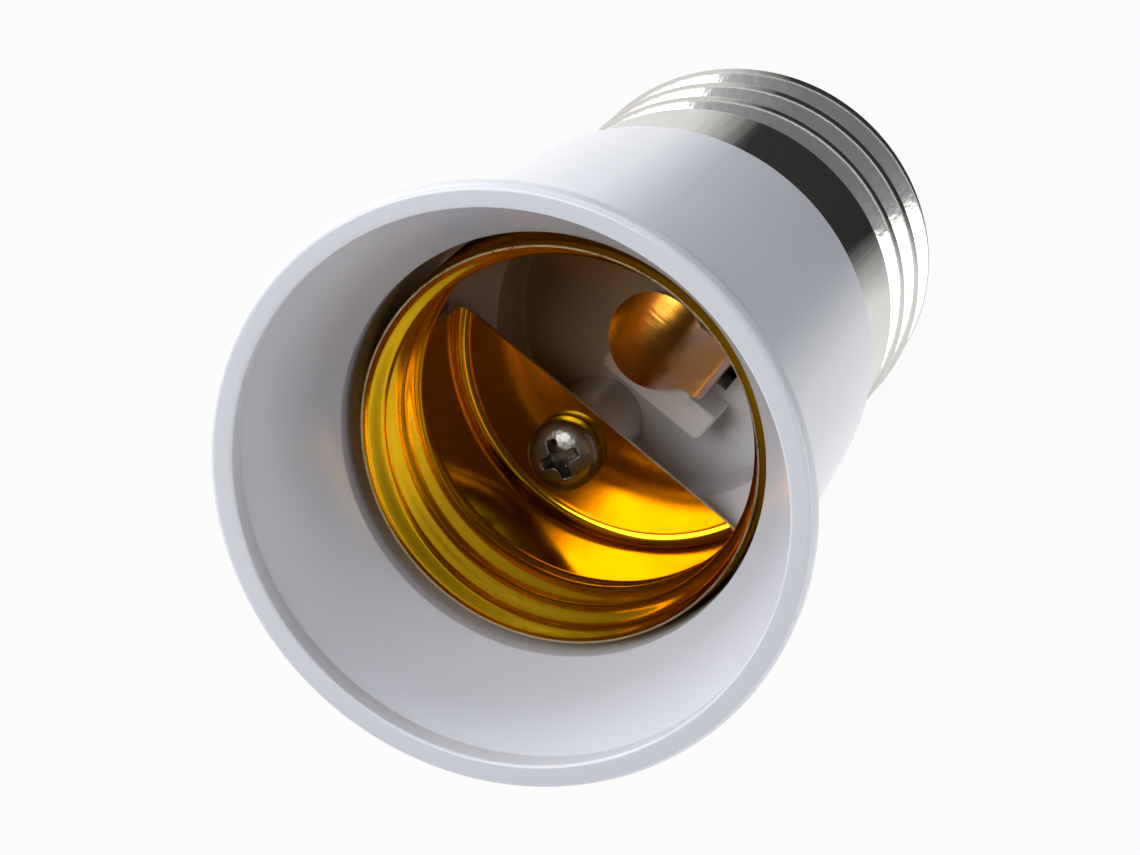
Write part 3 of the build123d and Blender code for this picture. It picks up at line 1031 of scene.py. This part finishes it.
def studio_world():
    """Pale at the horizon and below, dim behind the camera and overhead: a lit cove in a dark room."""
    behind_start, behind_full = -0.45, -0.9
    aside_start, aside_full = -0.1, -0.5
    ceiling_start, ceiling_full = 0.35, 0.8
    world = bpy.data.worlds.new("studio")
    bpy.context.scene.world = world
    world.use_nodes = True
    nodes, links = world.node_tree.nodes, world.node_tree.links
    where = nodes.new("ShaderNodeTexCoord")
    split = nodes.new("ShaderNodeSeparateXYZ")
    links.new(where.outputs["Generated"], split.inputs["Vector"])
    behind = ranged(nodes, links, split.outputs["Y"], behind_start, behind_full)
    aside = ranged(nodes, links, split.outputs["X"], aside_start, aside_full)
    overhead = ranged(nodes, links, split.outputs["Z"], ceiling_start, ceiling_full)
    overhead.node.interpolation_type = "SMOOTHSTEP"
    cove = mix_colours(nodes, links, aside, COVE, COVE_ASIDE)
    cove = mix_colours(nodes, links, behind, cove, BEHIND_CAMERA)
    ceiling = mix_colours(nodes, links, aside, CEILING, CEILING_ASIDE)
    room = mix_colours(nodes, links, overhead, cove, ceiling)
    path = nodes.new("ShaderNodeLightPath")
    seen = mix_colours(nodes, links, path.outputs["Is Camera Ray"], room, WHITE)
    links.new(seen, nodes["Background"].inputs["Color"])
    nodes["Background"].inputs["Strength"].default_value = 1.0


def floor_material():
    """Plain pale floor, white to the camera and in reflections, but for a painted dark reflection in front
    of the part.

    The painted dark reflection shows only to reflected rays that are short and land in a sector about its
    direction.
    """
    material, nodes, links, shader = new_material("pale floor")
    shader.inputs["Roughness"].default_value = 0.85
    shader.inputs["Specular IOR Level"].default_value = 0.1
    path = nodes.new("ShaderNodeLightPath").outputs
    far = ranged(nodes, links, path["Ray Length"], *PAINTED_DARK_REACH)
    bounced = linked_math(nodes, links, "MAXIMUM", path["Is Glossy Ray"], path["Is Transmission Ray"])
    where = nodes.new("ShaderNodeTexCoord").outputs["Object"]
    flat = vector_step(nodes, links, "MULTIPLY", where, (1, 1, 0))
    away = vector_step(nodes, links, "NORMALIZE", flat.outputs["Vector"])
    ahead = vector_step(nodes, links, "DOT_PRODUCT", away.outputs["Vector"], PAINTED_DARK_TOWARD)
    beside = ranged(nodes, links, ahead.outputs["Value"], *PAINTED_DARK_SECTOR)
    shown = linked_math(nodes, links, "MAXIMUM", far, beside)
    # Painted reflection: short reflected rays in the sector see the floor dark, in place of a dark sheet
    # that is not there
    painted_dark = linked_math(nodes, links, "MULTIPLY", bounced, ranged(nodes, links, shown, 1.0, 0.0))
    links.new(mix_colours(nodes, links, painted_dark, colours().floor, PAINTED_DARK_REFLECTION), shader.inputs["Base Color"])
    bounced = linked_math(nodes, links, "MULTIPLY", bounced, shown)
    seen = linked_math(nodes, links, "MAXIMUM", path["Is Camera Ray"], bounced)
    glow = nodes.new("ShaderNodeEmission")
    glow.inputs["Color"].default_value = (*WHITE, 1)
    glow.inputs["Strength"].default_value = 1.0
    blend = nodes.new("ShaderNodeMixShader")
    links.new(mapped(nodes, links, seen, 0.0, FLOOR_WHITE_SHARE), blend.inputs["Fac"])
    links.new(shader.outputs["BSDF"], blend.inputs[1])
    links.new(glow.outputs["Emission"], blend.inputs[2])
    links.new(blend.outputs["Shader"], nodes["Material Output"].inputs["Surface"])
    return material


def lay_floor():
    """Square floor just under the part."""
    half, height = FLOOR_HALF, cad_low.z - FLOOR_DROP
    corners = [(-half, -half, height), (half, -half, height), (half, half, height), (-half, half, height)]
    mesh = bpy.data.meshes.new("floor")
    mesh.from_pydata(corners, [], [(0, 1, 2, 3)])
    floor = bpy.data.objects.new("floor", mesh)
    bpy.context.scene.collection.objects.link(floor)
    mesh.materials.append(floor_material())


def photo_camera(mouth_z):
    """Camera that stands and is turned as the photo's was, from the mouth's height in millimetres."""
    data = bpy.data.cameras.new("photo camera")
    data.sensor_width = CAMERA_SENSOR
    data.lens = CAMERA_LENS
    data.clip_start, data.clip_end = 0.02, 20.0
    camera = bpy.data.objects.new("photo camera", data)
    bpy.context.scene.collection.objects.link(camera)
    turn = Matrix((CAMERA_RIGHT, CAMERA_UP, CAMERA_BACK)).transposed().to_quaternion()
    place = (Vector(CAMERA_FROM_MOUTH) + Vector((0, 0, mouth_z))) * MM
    camera.matrix_world = Matrix.LocRotScale(place, turn, None)
    bpy.context.scene.camera = camera


class ADAPTER_OT_stage(bpy.types.Operator):
    """Pale floor, studio world, soft lamps and the photo's camera"""

    bl_idname = "adapter.stage"
    bl_label = "Stage"

    def execute(self, context):
        lay_floor()
        studio_world()
        for name, (place, size, power) in LAMPS.items():
            soft_lamp(name, place, size, power)
        photo_camera(sizes().mouth_z)
        context.scene.view_settings.view_transform = "Standard"
        return {"FINISHED"}


class ADAPTER_PT_pieces(bpy.types.Panel):
    """Sidebar list of the adapter's pieces, sizes and colours"""

    bl_idname = "ADAPTER_PT_pieces"
    bl_label = "Lamp socket adapter"
    bl_space_type = "VIEW_3D"
    bl_region_type = "UI"
    bl_category = "Adapter"

    def draw(self, context):
        for step in STEPS:
            self.layout.operator(step.bl_idname)
        for group in (context.scene.adapter_sizes, context.scene.adapter_colours):
            column = self.layout.column(align=True)
            for name in group.__annotations__:
                column.prop(group, name)


STEPS = (ADAPTER_OT_housing, ADAPTER_OT_socket, ADAPTER_OT_contact, ADAPTER_OT_cap, ADAPTER_OT_stage)
CLASSES = (AdapterSizes, AdapterColours, *STEPS, ADAPTER_PT_pieces)


def register():
    for item in CLASSES:
        bpy.utils.register_class(item)
    bpy.types.Scene.adapter_sizes = bpy.props.PointerProperty(type=AdapterSizes)
    bpy.types.Scene.adapter_colours = bpy.props.PointerProperty(type=AdapterColours)


def unregister():
    del bpy.types.Scene.adapter_colours
    del bpy.types.Scene.adapter_sizes
    for item in reversed(CLASSES):
        bpy.utils.unregister_class(item)


def main():
    register()
    bpy.ops.adapter.housing()
    bpy.ops.adapter.socket()
    bpy.ops.adapter.contact()
    bpy.ops.adapter.cap()
    bpy.ops.adapter.stage()


if __name__ == "__main__":
    main()
